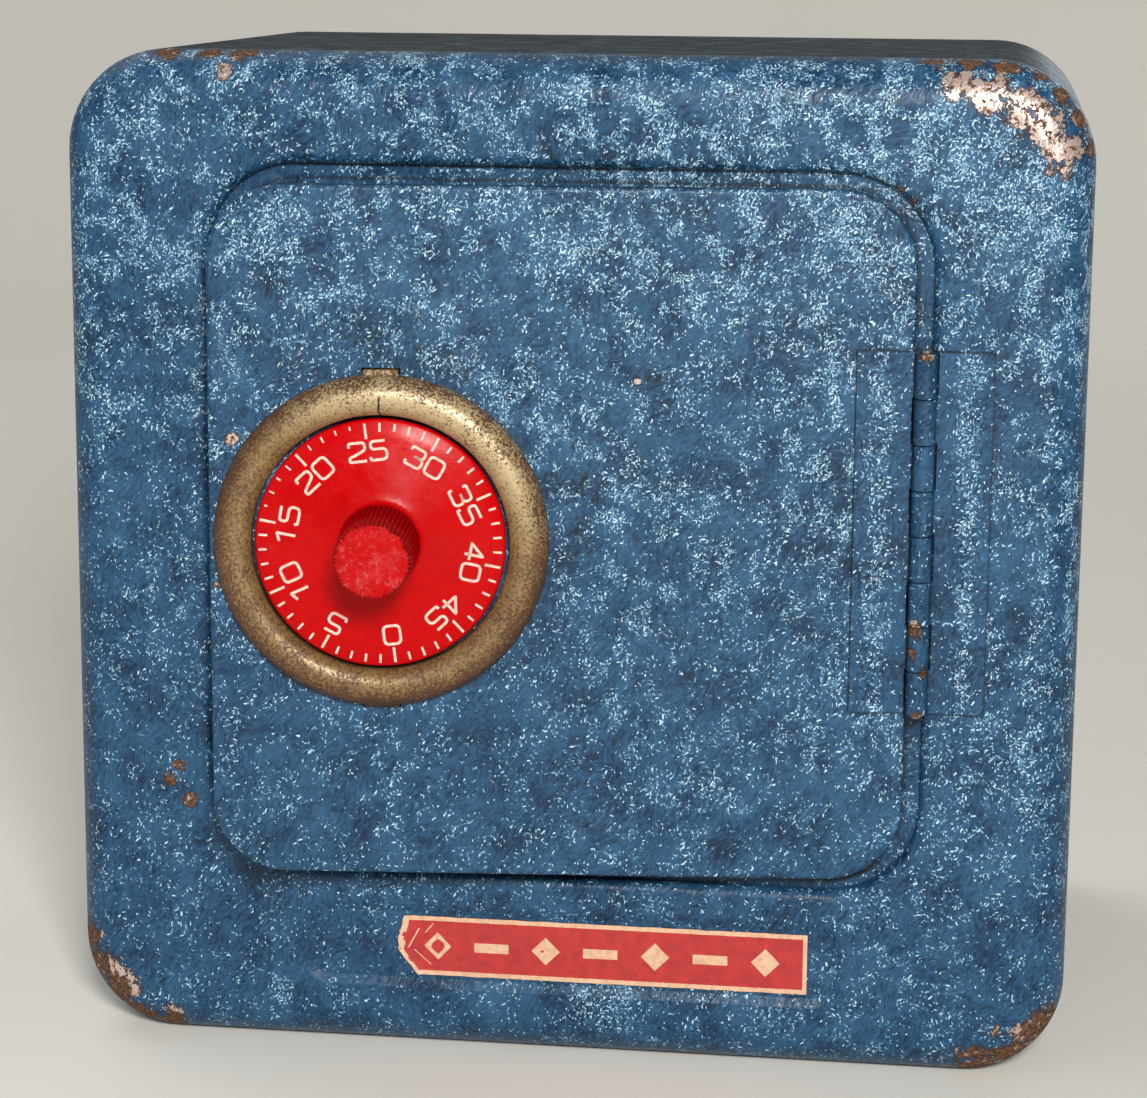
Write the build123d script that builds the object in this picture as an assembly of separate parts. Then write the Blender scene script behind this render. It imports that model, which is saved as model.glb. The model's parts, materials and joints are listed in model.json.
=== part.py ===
"""Small pressed-steel strongbox with a three-wheel combination lock and a surface-hinged door.

Millimetres. The origin is the middle of the underside of the case; +X is to the right seen
from the front, +Y towards the back, +Z up. Depths called y0 and y1 below are measured back
from the front face. Everything that the door carries is drawn with the door shut and then
swung open by AJAR about the hinge pin, which is the rest position of the model.
"""
from build123d import *
from math import cos, pi, sin
import os

# ---------------------------------------------------------------- case
CASE_W = 216.0                  # width and height
CASE_D = 150.0                  # front face to back face
CASE_R = 21.5                   # corner radius of the outline
EDGE_R = 9.5                    # rounding of the front and back edges
SHEET = 1.2                     # sheet steel
PAN_D = 41.0                    # depth of the pressed front pan
BACK_D = 20.0                   # depth of the pressed back pan
LAP = 7.0                       # the wrapper laps this far inside each pan
SEAM = 0.4                      # open seam between pan and wrapper
FRONT = -CASE_D / 2             # y of the front face
MID_Z = CASE_W / 2

# ---------------------------------------------------------------- door and its pocket
DOOR_W = 146.0                  # the door is square
DOOR_Z = 116.8                  # height of the door's centre
DOOR_R = 16.0
DOOR_T = 3.0                    # thickness over the turned edge
DOOR_EDGE_R = 1.1
POCKET_GAP = 3.2                # between the door's edge and the pocket wall
POCKET_DEPTH = 3.3              # the land behind the door is this far behind the face
POCKET_LIP = 2.4                # outer radius of the rolled pocket edge
LAND_W = 138.0                  # clear opening inside the land
LAND_R = 12.0
AJAR = 6.3                      # degrees open at rest

# ---------------------------------------------------------------- label panel under the door
PANEL_W, PANEL_H = 117.0, 19.0
PANEL_X, PANEL_Z = 2.0, 23.8
PANEL_DEPTH = 0.8
PANEL_SLOPE = 2.0               # width of the panel's sloping border
LABEL_W, LABEL_H, LABEL_T = 89.4, 13.3, 0.15
LABEL_X, LABEL_Z = 8.7, 23.9

# ---------------------------------------------------------------- hinge
HINGE_X = 75.0                  # pin axis
LEAF_T = 1.0
LEAF_REACH = 14.0               # pin axis to the outer edge of each leaf
HINGE_LEN = 76.2                # 3 in
HINGE_Z0 = 80.8                 # lower end of the leaves
KNUCKLES = 8
KNUCKLE_R = 2.3
KNUCKLE_GAP = 0.25
LEAF_RELIEF = 2.7               # a leaf is cut back this far round the other leaf's knuckles
PIN_R = 1.2
PIN_FIT = 0.06                  # radial running fit of the knuckles on the pin
PIN_END = 0.8                   # pin stands out of the knuckles at each end
HINGE_Y = FRONT - KNUCKLE_R

# ---------------------------------------------------------------- dial and ring
DIAL_X, DIAL_Z = -36.9, 116.0
RING_R = 35.0                   # escutcheon ring, outside
RING_HOLE_R = 26.9
RING_H = 5.2                    # crown of the ring above the door
RING_SHEET = 0.9
RING_WALL_H = 3.0               # straight inner wall, round the dial
TAB_W, TAB_T = 7.3, 0.8
TAB_OUT_TOP, TAB_OUT_LOW = 0.9, 0.4  # each tab stands this far outside the ring
TAB_SHELF = 1.4                 # flat part of a tab, joined to the ring's foot
TAB_BENT = 4.0                  # part of a tab bent over behind the door
DIAL_R = 26.1
DIAL_FACE = -3.4                # face of the dial
DIAL_BACK = -1.1
GRIP_FOOT_R, GRIP_TOP_R = 8.5, 7.8
GRIP_H = 19.5
GRIP_RIBS = 52
RIB_DEPTH = 0.45
SPINDLE_R = 3.0
RUN_FIT = 0.05                  # radial running fit of spindle, wheels and lever
SNUG = 0.02                     # radial fit of fixed round pieces
BUSH_R = 6.5
BUSH_FLANGE_R, BUSH_FLANGE_T = 9.5, 0.8

# ---------------------------------------------------------------- lock case on the door
LOCK_W, LOCK_H = 58.0, 72.0
LOCK_X, LOCK_Z = -33.5, 126.0
LOCK_WALL = 1.5
LOCK_FLOOR = SHEET              # the lock case stands on the door's inner face
LOCK_INSIDE = LOCK_FLOOR + LOCK_WALL
LOCK_BACK = 27.0                # inner face of the cover
COVER_T = 1.2
STUD_R, STUD_INSET = 1.9, 5.0
STUD_END = 31.5
NUT_FLATS, NUT_T = 7.0, 2.4
BOSS_R = 3.8

# ---------------------------------------------------------------- wheel pack
POST_R = 5.0                    # hollow post that carries the wheels
POST_END = 18.6
POST_FLANGE_R, POST_FLANGE_T = 9.0, 1.5
WHEELS = 3
WHEEL_R, WHEEL_T = 16.0, 2.0
WHEEL_Y0, WHEEL_PITCH = 6.2, 4.2
GATE_W, GATE_D = 3.4, 4.0
GATES = (-64.0, 118.0, 31.0)    # gate of each wheel, clockwise from the top
FLY_R0, FLY_R1, FLY_T = 7.4, 10.0, 0.8
FLY_TAB_W = 2.2
DRIVE_R, DRIVE_PIN_R = 12.2, 0.8  # circle of the drive pins, and their radius
SPACER_R = 7.0
CLIP_T, CLIP_GAP = 1.0, 3.0
AXIAL_PLAY = 0.1
CAM_R, CAM_Y0, CAM_T = 14.0, 19.2, 3.0
CAM_NOTCH_W, CAM_NOTCH_D = 6.0, 4.5
CAM_NOTCH_TURN = 150.0          # clockwise from the top
CAM_NUT_FLATS, CAM_NUT_T = 10.0, 2.4
SPINDLE_END = 25.6
SPINDLE_SEAT = -8.0             # front end of the spindle, inside the dial's grip

# ---------------------------------------------------------------- bolt and lever
BOLT_TIP = -65.8                # x of the bolt's nose with the bolt drawn back
BOLT_TAIL = -40.0
BOLT_Z, BOLT_H = 144.5, 12.0
BOLT_Y0, BOLT_T = 6.8, 5.0
BOLT_PLAY = 0.3
PIVOT_X = -46.0
PIVOT_BOSS_R = 3.0
PIVOT_R = 1.8
SCREW_HEAD_R, SCREW_HEAD_T = 3.2, 1.6
SCREW_SLOT_W, SCREW_SLOT_D = 0.9, 0.7
LEVER_Y0, LEVER_T = 19.5, 2.4
FENCE_X, FENCE_W = -28.5, 2.6
FENCE_FOOT = 132.6              # z of the fence's lower edge, just above the wheels
NOSE_X, NOSE_FOOT = -22.6, 130.6
SPRING_R, SPRING_WIRE_R, SPRING_TURNS = 4.5, 0.35, 4
STRIKE_W, STRIKE_H, STRIKE_T = 5.4, 26.0, 1.5


# ================================================================ drawing helpers
def face_plane(y, x=0.0, z=0.0):
    """Working plane y behind the front face, facing the front: local x is X, local y is Z."""
    return Plane(origin=(x, FRONT + y, z), x_dir=(1, 0, 0), z_dir=(0, -1, 0))


def slab(w, h, r, y0, y1, x=0.0, z=0.0):
    """Plate with rounded corners between two depths."""
    outline = RectangleRounded(w, h, r) if r else Rectangle(w, h)
    return extrude(face_plane(y1, x, z) * outline, amount=y1 - y0)


def disc(r, y0, y1, x=DIAL_X, z=DIAL_Z):
    """Round bar between two depths, on the dial's axis unless x and z say otherwise."""
    return extrude(face_plane(y1, x, z) * Circle(r), amount=y1 - y0)


def tube(r, bore, y0, y1, x=DIAL_X, z=DIAL_Z):
    return disc(r, y0, y1, x, z) - disc(bore, y0 - 1, y1 + 1, x, z)


def hexagon(flats, bore, y0, y1, x, z):
    """Hexagon nut between two depths."""
    outline = RegularPolygon(flats / 2, 6, major_radius=False)
    nut = extrude(face_plane(y1, x, z) * outline, amount=y1 - y0)
    return nut - disc(bore, y0 - 1, y1 + 1, x, z)


def turned(shape, degrees):
    """Turn a piece about the dial's axis, clockwise seen from the front."""
    return shape.rotate(Axis((DIAL_X, 0, DIAL_Z), (0, 1, 0)), degrees)


def level_edges(shape, y, half=CASE_W, z=MID_Z):
    """Edges that lie at one depth, within half of the point x = 0, z."""
    found = []
    for edge in shape.edges():
        low, high = edge.bounding_box().min, edge.bounding_box().max
        reach = max(-low.X, high.X, z - low.Z, high.Z - z)
        if abs(low.Y - FRONT - y) < 0.02 and abs(high.Y - FRONT - y) < 0.02 and reach < half:
            found.append(edge)
    return found


# ================================================================ case
def pan(y_open, y_closed):
    """Pressed pan from its open end to its closed face, with a rounded outer edge."""
    inwards = SHEET if y_open > y_closed else -SHEET
    y0, y1 = sorted((y_open, y_closed))
    outer = slab(CASE_W, CASE_W, CASE_R, y0, y1, 0, MID_Z)
    outer = fillet(level_edges(outer, y_closed), EDGE_R)
    y0, y1 = sorted((y_open + inwards, y_closed + inwards))
    inner_w = CASE_W - 2 * SHEET
    cavity = slab(inner_w, inner_w, CASE_R - SHEET, y0, y1, 0, MID_Z)
    cavity = fillet(level_edges(cavity, y_closed + inwards), EDGE_R - SHEET)
    return outer - cavity


def sloped_block(grow, y0, y1):
    """Shallow block with sloping sides that shapes the label panel."""
    mouth = RectangleRounded(PANEL_W + grow, PANEL_H + grow, 5.0)
    inner_w, inner_h = PANEL_W + grow - 2 * PANEL_SLOPE, PANEL_H + grow - 2 * PANEL_SLOPE
    floor = RectangleRounded(inner_w, inner_h, 5.0 - PANEL_SLOPE)
    return loft([face_plane(y0, PANEL_X, PANEL_Z) * mouth, face_plane(y1, PANEL_X, PANEL_Z) * floor])


def front_shell():
    """Front pan with the door pocket, its land and the label panel pressed into it."""
    shell = pan(PAN_D, 0.0)
    pocket_w = DOOR_W + 2 * POCKET_GAP
    tray_w = pocket_w + 2 * SHEET
    pocket_r = DOOR_R + POCKET_GAP
    land_back = POCKET_DEPTH + SHEET
    shell += slab(tray_w, tray_w, pocket_r + SHEET, SHEET / 2, land_back, 0, DOOR_Z)
    shell -= slab(pocket_w, pocket_w, pocket_r, -1.0, POCKET_DEPTH, 0, DOOR_Z)
    shell -= slab(LAND_W, LAND_W, LAND_R, 0.0, land_back + 1, 0, DOOR_Z)
    lip = level_edges(shell, 0.0, pocket_w / 2 + 0.1, DOOR_Z)
    shell = fillet(lip, POCKET_LIP)
    behind_lip = level_edges(shell, SHEET, tray_w / 2 + 0.1, DOOR_Z)
    shell = fillet(behind_lip, POCKET_LIP - SHEET)
    shell += sloped_block(1.6, SHEET / 2, SHEET + PANEL_DEPTH)
    return shell - sloped_block(0.0, 0.0, PANEL_DEPTH)


def body_shell():
    """Wrapper round the four sides, with a lap inside each pan."""
    y0, y1 = PAN_D, CASE_D - BACK_D
    lap_w = CASE_W - 2 * SHEET
    hole_w = lap_w - 2 * SHEET
    shell = slab(CASE_W, CASE_W, CASE_R, y0 + SEAM, y1 - SEAM, 0, MID_Z)
    shell += slab(lap_w, lap_w, CASE_R - SHEET, y0 - LAP, y1 + LAP, 0, MID_Z)
    return shell - slab(hole_w, hole_w, CASE_R - 2 * SHEET, y0 - LAP - 1, y1 + LAP + 1, 0, MID_Z)


def back_panel():
    return pan(CASE_D - BACK_D, CASE_D)


def label():
    """Printed label stuck in the panel under the door."""
    return slab(LABEL_W, LABEL_H, 0.6, PANEL_DEPTH - LABEL_T, PANEL_DEPTH, LABEL_X, LABEL_Z)


def strike_plate():
    """Keeper welded behind the land, which the bolt's nose passes."""
    y0 = POCKET_DEPTH + SHEET
    x = -LAND_W / 2 - 0.2 - STRIKE_W / 2
    return slab(STRIKE_W, STRIKE_H, 1.0, y0, y0 + STRIKE_T, x, BOLT_Z)


# ================================================================ hinge
def hinge_leaf(side, first):
    """Leaf on the front face with every second knuckle. side is -1 on the door, +1 on the case."""
    mid_z = HINGE_Z0 + HINGE_LEN / 2
    pitch = HINGE_LEN / KNUCKLES
    leaf = Pos(HINGE_X + side * LEAF_REACH / 2, FRONT - LEAF_T / 2, mid_z) * Box(
        LEAF_REACH, LEAF_T, HINGE_LEN)
    for i in range(KNUCKLES):
        place = Pos(HINGE_X, HINGE_Y, HINGE_Z0 + (i + 0.5) * pitch)
        if i % 2 == first:
            leaf += place * Cylinder(KNUCKLE_R, pitch - KNUCKLE_GAP)
        else:
            leaf -= place * Box(2 * LEAF_RELIEF, 4 * KNUCKLE_R, pitch + KNUCKLE_GAP)
    return leaf - Pos(HINGE_X, HINGE_Y, mid_z) * Cylinder(PIN_R + PIN_FIT, HINGE_LEN + 4)


def hinge_pin():
    pin = Cylinder(PIN_R, HINGE_LEN + 2 * PIN_END)
    pin = chamfer(pin.edges().filter_by(GeomType.CIRCLE), 0.3)
    return Pos(HINGE_X, HINGE_Y, HINGE_Z0 + HINGE_LEN / 2) * pin


# ================================================================ door
def tab_places():
    """Height of each ring tab, and the way it points."""
    top = DIAL_Z + RING_R + TAB_OUT_TOP - TAB_T / 2
    low = DIAL_Z - RING_R - TAB_OUT_LOW + TAB_T / 2
    return [(top, 1), (low, -1)]


def bent_z(z, way):
    """Height of the middle of a tab's bent part."""
    return z + way * (TAB_BENT - TAB_T) / 2


def stud_places():
    dx, dz = LOCK_W / 2 - STUD_INSET, LOCK_H / 2 - STUD_INSET
    return [(LOCK_X + i * dx, LOCK_Z + k * dz) for i in (-1, 1) for k in (-1, 1)]


def door_panel():
    """Pressed skin with its edge turned back, a bush hole and two slots for the ring's tabs."""
    door = slab(DOOR_W, DOOR_W, DOOR_R, 0.0, DOOR_T, 0, DOOR_Z)
    door = fillet(level_edges(door, 0.0), DOOR_EDGE_R)
    inside = DOOR_W - 2 * SHEET
    door -= slab(inside, inside, DOOR_R - SHEET, SHEET, DOOR_T + 1, 0, DOOR_Z)
    door -= disc(BUSH_R + SNUG, -1.0, DOOR_T)
    for z, way in tab_places():
        door -= slab(TAB_W + 0.8, TAB_T + 0.6, 0, -1.0, DOOR_T, DIAL_X, z + way * 0.1)
    return door


def dial_ring():
    """Hollow pressed ring: rounded crown, straight inner wall, two tabs clinched behind the door."""
    t = RING_SHEET
    crown_r = (RING_R + RING_HOLE_R) / 2 + 0.4
    crown, crown_below = (crown_r, RING_H), (crown_r, RING_H - t)
    lip, lip_below = (RING_HOLE_R, RING_WALL_H), (RING_HOLE_R + t, RING_WALL_H - 0.2)
    shoulder = 0.7 * RING_H
    section = make_face([
        Line((RING_HOLE_R, 0), lip),
        ThreePointArc(lip, (RING_HOLE_R + 1.3, RING_H - 0.6), crown),
        ThreePointArc(crown, (RING_R - 1.1, shoulder), (RING_R, 0)),
        Line((RING_R, 0), (RING_R - t, 0)),
        ThreePointArc((RING_R - t, 0), (RING_R - 1.8, shoulder - 0.6), crown_below),
        ThreePointArc(crown_below, (RING_HOLE_R + 2.0, RING_H - 1.3), lip_below),
        Line(lip_below, (RING_HOLE_R + t, 0)),
        Line((RING_HOLE_R + t, 0), (RING_HOLE_R, 0)),
    ])
    ring = revolve(section, Axis.Y)
    ring = Pos(DIAL_X, FRONT, DIAL_Z) * Rot(180, 0, 0) * ring
    for z, way in tab_places():
        ring += slab(TAB_W, TAB_T, 0, -t, SHEET, DIAL_X, z)
        ring += slab(TAB_W, TAB_SHELF, 0, -t, 0.0, DIAL_X, z - way * (TAB_SHELF - TAB_T) / 2)
        ring += slab(TAB_W, TAB_BENT, 0, SHEET, SHEET + TAB_T, DIAL_X, bent_z(z, way))
    return ring


def spindle_bush():
    """Flanged bush through the door and the lock case; the spindle runs in it."""
    bush = disc(BUSH_R, 0.0, LOCK_INSIDE) + disc(BUSH_FLANGE_R, -BUSH_FLANGE_T, 0.0)
    return bush - disc(SPINDLE_R + RUN_FIT, -2.0, LOCK_INSIDE + 1)


def weld_studs():
    return [disc(STUD_R, SHEET, STUD_END, x, z) for x, z in stud_places()]


def cover_nuts():
    y0 = LOCK_BACK + COVER_T
    return [hexagon(NUT_FLATS, STUD_R + SNUG, y0, y0 + NUT_T, x, z) for x, z in stud_places()]


# ================================================================ lock
def lock_case():
    """Tray on the door's inner face: stud bosses, bolt slot, bolt rails and post hole."""
    case = slab(LOCK_W, LOCK_H, 4.0, LOCK_FLOOR, LOCK_BACK, LOCK_X, LOCK_Z)
    inner_w, inner_h = LOCK_W - 2 * LOCK_WALL, LOCK_H - 2 * LOCK_WALL
    case -= slab(inner_w, inner_h, 2.5, LOCK_INSIDE, LOCK_BACK + 1, LOCK_X, LOCK_Z)
    for x, z in stud_places():
        case += disc(BOSS_R, LOCK_FLOOR, LOCK_BACK, x, z)
    for x, z in stud_places():
        case -= disc(STUD_R + SNUG, 0.0, LOCK_BACK + 1, x, z)
    case -= disc(BUSH_R + SNUG, 0.0, LOCK_INSIDE + 1)
    for z, way in tab_places():
        case -= slab(TAB_W + 2, TAB_BENT + 4, 0, 0.0, LOCK_INSIDE + 0.1, DIAL_X, bent_z(z, way))
    slot_h, slot_t = BOLT_H + 2 * BOLT_PLAY, BOLT_T + 2 * BOLT_PLAY
    y0 = BOLT_Y0 - BOLT_PLAY
    case -= slab(12.0, slot_h, 0, y0, y0 + slot_t, LOCK_X - LOCK_W / 2, BOLT_Z)
    bed_x0, bed_x1 = LOCK_X - LOCK_W / 2 + LOCK_WALL, -47.0
    bed = slab(bed_x1 - bed_x0, BOLT_H - 3, 0, LOCK_INSIDE, y0, (bed_x0 + bed_x1) / 2, BOLT_Z)
    return case + bed


def lock_cover():
    cover = slab(LOCK_W, LOCK_H, 4.0, LOCK_BACK, LOCK_BACK + COVER_T, LOCK_X, LOCK_Z)
    for x, z in stud_places():
        cover -= disc(STUD_R + 0.3, LOCK_BACK - 1, LOCK_BACK + COVER_T + 1, x, z)
    return cover


def wheel_y(i):
    """Front face of wheel i, counted from the door."""
    return WHEEL_Y0 + i * WHEEL_PITCH


def wheel_post():
    """Flanged hollow post: the wheels turn on it and the spindle turns in it."""
    post = disc(POST_R, LOCK_INSIDE, POST_END)
    post += disc(POST_FLANGE_R, LOCK_INSIDE, LOCK_INSIDE + POST_FLANGE_T)
    return post - disc(SPINDLE_R + RUN_FIT, 0.0, POST_END + 1)


def wheel_spacers():
    """Fixed rings that keep the wheels apart on the post."""
    rings = [tube(SPACER_R, POST_R + SNUG, LOCK_INSIDE + POST_FLANGE_T, WHEEL_Y0 - AXIAL_PLAY)]
    for i in range(WHEELS - 1):
        y0 = wheel_y(i) + WHEEL_T + AXIAL_PLAY
        rings.append(tube(SPACER_R, POST_R + SNUG, y0, wheel_y(i + 1) - AXIAL_PLAY))
    return rings


def post_clip():
    """Open retaining ring behind the last wheel."""
    y0 = wheel_y(WHEELS - 1) + WHEEL_T + AXIAL_PLAY
    clip = tube(SPACER_R, POST_R + SNUG, y0, y0 + CLIP_T)
    return clip - slab(CLIP_GAP, SPACER_R, 0, y0 - 1, y0 + CLIP_T + 1, DIAL_X, DIAL_Z - SPACER_R)


def drive_pin(y0, y1):
    """Pin on the driving circle, just beside the fly tab that it pushes."""
    gap = 0.15
    lead = (FLY_TAB_W / 2 + DRIVE_PIN_R + gap) / DRIVE_R * 180 / pi
    return turned(disc(DRIVE_PIN_R, y0, y1, DIAL_X, DIAL_Z + DRIVE_R), lead)


def fly(i):
    """Ring with a tab behind wheel i, pushed round by the drive pin of the piece behind it."""
    y0 = wheel_y(i) + WHEEL_T
    ring = tube(FLY_R1, FLY_R0, y0, y0 + FLY_T)
    reach = DRIVE_R + 1.2 - FLY_R1 + 0.6
    return ring + slab(FLY_TAB_W, reach, 0, y0, y0 + FLY_T, DIAL_X, DIAL_Z + FLY_R1 - 0.6 + reach / 2)


def wheel(i):
    """Tumbler wheel with its gate; all but the first carry a drive pin on the front."""
    y0 = wheel_y(i)
    disk = tube(WHEEL_R, POST_R + RUN_FIT, y0, y0 + WHEEL_T)
    notch = slab(GATE_W, 2 * GATE_D, 0, y0 - 1, y0 + WHEEL_T + 1, DIAL_X, DIAL_Z + WHEEL_R)
    disk -= turned(notch, GATES[i])
    if i > 0:
        behind_fly = wheel_y(i - 1) + WHEEL_T + FLY_T / 2
        disk += drive_pin(behind_fly, y0)
    return disk


def drive_cam():
    """Cam on the spindle's end with the notch that the lever's nose drops into."""
    cam = tube(CAM_R, SPINDLE_R + SNUG, CAM_Y0, CAM_Y0 + CAM_T)
    y0, y1 = CAM_Y0 - 1, CAM_Y0 + CAM_T + 1
    notch = slab(CAM_NOTCH_W, 2 * CAM_NOTCH_D, 0.8, y0, y1, DIAL_X, DIAL_Z + CAM_R)
    cam -= turned(notch, CAM_NOTCH_TURN)
    return cam + drive_pin(wheel_y(WHEELS - 1) + WHEEL_T + FLY_T / 2, CAM_Y0)


def cam_nut():
    y0 = CAM_Y0 + CAM_T
    return hexagon(CAM_NUT_FLATS, SPINDLE_R + SNUG, y0, y0 + CAM_NUT_T, DIAL_X, DIAL_Z)


# ================================================================ dial
def ribbed_outline(r):
    """Round outline with sharp ribs for the fingers."""
    points = []
    for i in range(2 * GRIP_RIBS):
        angle = pi * i / GRIP_RIBS
        radius = r - RIB_DEPTH * (i % 2)
        points.append((radius * cos(angle), radius * sin(angle)))
    return Polygon(*points, align=None)


def dial():
    """Moulded disc with a tapering ribbed grip, bored from behind for the spindle."""
    disk = disc(DIAL_R, DIAL_FACE, DIAL_BACK)
    disk = chamfer(level_edges(disk, DIAL_FACE), 0.3)
    foot = face_plane(DIAL_FACE, DIAL_X, DIAL_Z) * ribbed_outline(GRIP_FOOT_R)
    top = face_plane(DIAL_FACE - GRIP_H, DIAL_X, DIAL_Z) * ribbed_outline(GRIP_TOP_R)
    grip = loft([foot, top], ruled=True)
    return disk + grip - disc(SPINDLE_R + SNUG, SPINDLE_SEAT, 0.0)


def spindle():
    return disc(SPINDLE_R, SPINDLE_SEAT, SPINDLE_END)


# ================================================================ bolt and lever
def bolt():
    """Locking bolt with the boss that the lever turns on."""
    body = slab(BOLT_TAIL - BOLT_TIP, BOLT_H, 0, BOLT_Y0, BOLT_Y0 + BOLT_T,
                (BOLT_TIP + BOLT_TAIL) / 2, BOLT_Z)
    nose = [edge for edge in body.edges() if edge.bounding_box().max.X < BOLT_TIP + 0.1]
    body = chamfer(nose, 0.8)
    y1 = LEVER_Y0 - AXIAL_PLAY
    body += disc(PIVOT_BOSS_R, BOLT_Y0 + BOLT_T, y1, PIVOT_X, BOLT_Z)
    return body - disc(PIVOT_R + SNUG, BOLT_Y0 + 1, y1 + 1, PIVOT_X, BOLT_Z)


def lever_screw():
    """Shoulder screw that holds the lever on the bolt's boss."""
    y1 = LEVER_Y0 + LEVER_T + AXIAL_PLAY
    screw = disc(PIVOT_R, BOLT_Y0 + 1, y1, PIVOT_X, BOLT_Z)
    y2 = y1 + SCREW_HEAD_T
    head = disc(SCREW_HEAD_R, y1, y2, PIVOT_X, BOLT_Z)
    slot = slab(2 * SCREW_HEAD_R + 1, SCREW_SLOT_W, 0, y2 - SCREW_SLOT_D, y2 + 1, PIVOT_X, BOLT_Z)
    return screw + head - slot


def fence_lever():
    """Lever with the fence bar across the wheels and the nose over the drive cam."""
    y0, y1 = LEVER_Y0, LEVER_Y0 + LEVER_T
    arm_z = FENCE_FOOT + 6.4
    x1 = NOSE_X + 1.6
    lever = disc(4.6, y0, y1, PIVOT_X, BOLT_Z)
    lever += slab(x1 - PIVOT_X, 5.6, 0, y0, y1, (PIVOT_X + x1) / 2, arm_z + 2.4)
    lever += slab(3.2, arm_z + 2.4 - NOSE_FOOT, 0, y0, y1, NOSE_X, (arm_z + 2.4 + NOSE_FOOT) / 2)
    fence_h = arm_z + 1 - FENCE_FOOT
    fence_y0 = WHEEL_Y0 - 1.2
    lever += slab(FENCE_W, fence_h, 0, fence_y0, y1, FENCE_X, FENCE_FOOT + fence_h / 2)
    return lever - disc(PIVOT_R + RUN_FIT, y0 - 1, y1 + 1, PIVOT_X, BOLT_Z)


def lever_spring():
    """Coil spring round the bolt's boss that presses the lever down."""
    y0 = BOLT_Y0 + BOLT_T + SPRING_WIRE_R + 0.3
    y1 = LEVER_Y0 - SPRING_WIRE_R - 0.3
    pitch = (y1 - y0) / SPRING_TURNS
    path = Helix(pitch=pitch, height=y1 - y0, radius=SPRING_R)
    wire = sweep(Plane(origin=path @ 0, z_dir=path % 0) * Circle(SPRING_WIRE_R), path=path, is_frenet=True)
    return Pos(PIVOT_X, FRONT + y0, BOLT_Z) * Rot(-90, 0, 0) * wire


# ================================================================ assembly
def swing(shape):
    """Swing a door-carried piece from shut to the rest position."""
    pin = Axis((HINGE_X, HINGE_Y, 0), (0, 0, 1))
    if isinstance(shape, list):
        return [piece.rotate(pin, AJAR) for piece in shape]
    return shape.rotate(pin, AJAR)


fixed = {
    "front_shell": front_shell(),
    "body_shell": body_shell(),
    "back_panel": back_panel(),
    "label": label(),
    "strike_plate": strike_plate(),
    "case_hinge_leaf": hinge_leaf(+1, 0),
    "hinge_pin": hinge_pin(),
}
on_door = {
    "door_panel": door_panel(),
    "door_hinge_leaf": hinge_leaf(-1, 1),
    "dial_ring": dial_ring(),
    "spindle_bush": spindle_bush(),
    "weld_studs": weld_studs(),
    "cover_nuts": cover_nuts(),
    "lock_case": lock_case(),
    "lock_cover": lock_cover(),
    "wheel_post": wheel_post(),
    "wheel_spacers": wheel_spacers(),
    "post_clip": post_clip(),
    "dial": dial(),
    "spindle": spindle(),
    "drive_cam": drive_cam(),
    "cam_nut": cam_nut(),
    "bolt": bolt(),
    "lever_screw": lever_screw(),
    "lever_spring": lever_spring(),
    "fence_lever": fence_lever(),
}
for i in range(WHEELS):
    on_door[f"wheel_{i + 1}"] = wheel(i)
    on_door[f"fly_{i + 1}"] = fly(i)

nodes = dict(fixed)
for name, shape in on_door.items():
    nodes[name] = swing(shape)

os.makedirs("parts", exist_ok=True)
for name, shape in nodes.items():
    solids = shape if isinstance(shape, list) else [shape]
    export_step(Compound(children=solids) if len(solids) > 1 else solids[0], f"parts/{name}.step")
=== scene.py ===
"""Looks for a small blue strongbox with a red combination dial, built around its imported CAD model.

Blender works in metres in the CAD model's own frame; lengths below are in millimetres unless a
name ends in _m, and are turned into metres where a mesh or a light is made.
"""
import json
import math
import random

import bpy
from mathutils import Matrix, Vector, noise


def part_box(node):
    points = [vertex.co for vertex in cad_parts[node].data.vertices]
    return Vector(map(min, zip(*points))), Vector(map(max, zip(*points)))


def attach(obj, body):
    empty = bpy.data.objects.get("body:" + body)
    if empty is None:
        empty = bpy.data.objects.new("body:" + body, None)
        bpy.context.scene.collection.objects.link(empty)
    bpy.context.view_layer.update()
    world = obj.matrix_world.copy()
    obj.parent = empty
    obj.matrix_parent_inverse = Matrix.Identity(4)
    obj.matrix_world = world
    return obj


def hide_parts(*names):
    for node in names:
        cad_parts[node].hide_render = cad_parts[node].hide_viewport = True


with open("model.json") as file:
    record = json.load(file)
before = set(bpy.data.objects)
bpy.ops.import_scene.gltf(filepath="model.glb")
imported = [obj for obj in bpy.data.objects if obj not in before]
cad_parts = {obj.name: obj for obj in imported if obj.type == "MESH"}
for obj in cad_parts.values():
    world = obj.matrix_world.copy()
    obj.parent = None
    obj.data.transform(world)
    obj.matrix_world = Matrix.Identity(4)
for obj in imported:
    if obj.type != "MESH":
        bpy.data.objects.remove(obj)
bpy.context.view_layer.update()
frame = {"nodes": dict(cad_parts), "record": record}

MM = 0.001
SEED = 41
random.seed(SEED)
joints = {joint["name"]: joint for joint in frame["record"]["behaviour"]["joints"]}
nodes = frame["nodes"]


# ---------------------------------------------------------------- the door's own axes
AXIS = Vector(joints["dial_spin"]["axis"]).normalized()     # into the door, along the dial
UP = Vector((0, 0, 1))
RIGHT = AXIS.cross(UP).normalized()
DIAL_M = Vector(joints["dial_spin"]["pos_m"])               # on the door's front face


def on_door(x, depth, z):
    """Point in metres, x to the right and z above the dial's centre, depth behind the door's face."""
    return DIAL_M + (RIGHT * x + AXIS * depth + UP * z) * MM


def box_mm(node):
    """Low and high corner of a CAD node in millimetres."""
    return [Vector(corner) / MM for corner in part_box(node)]


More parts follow.
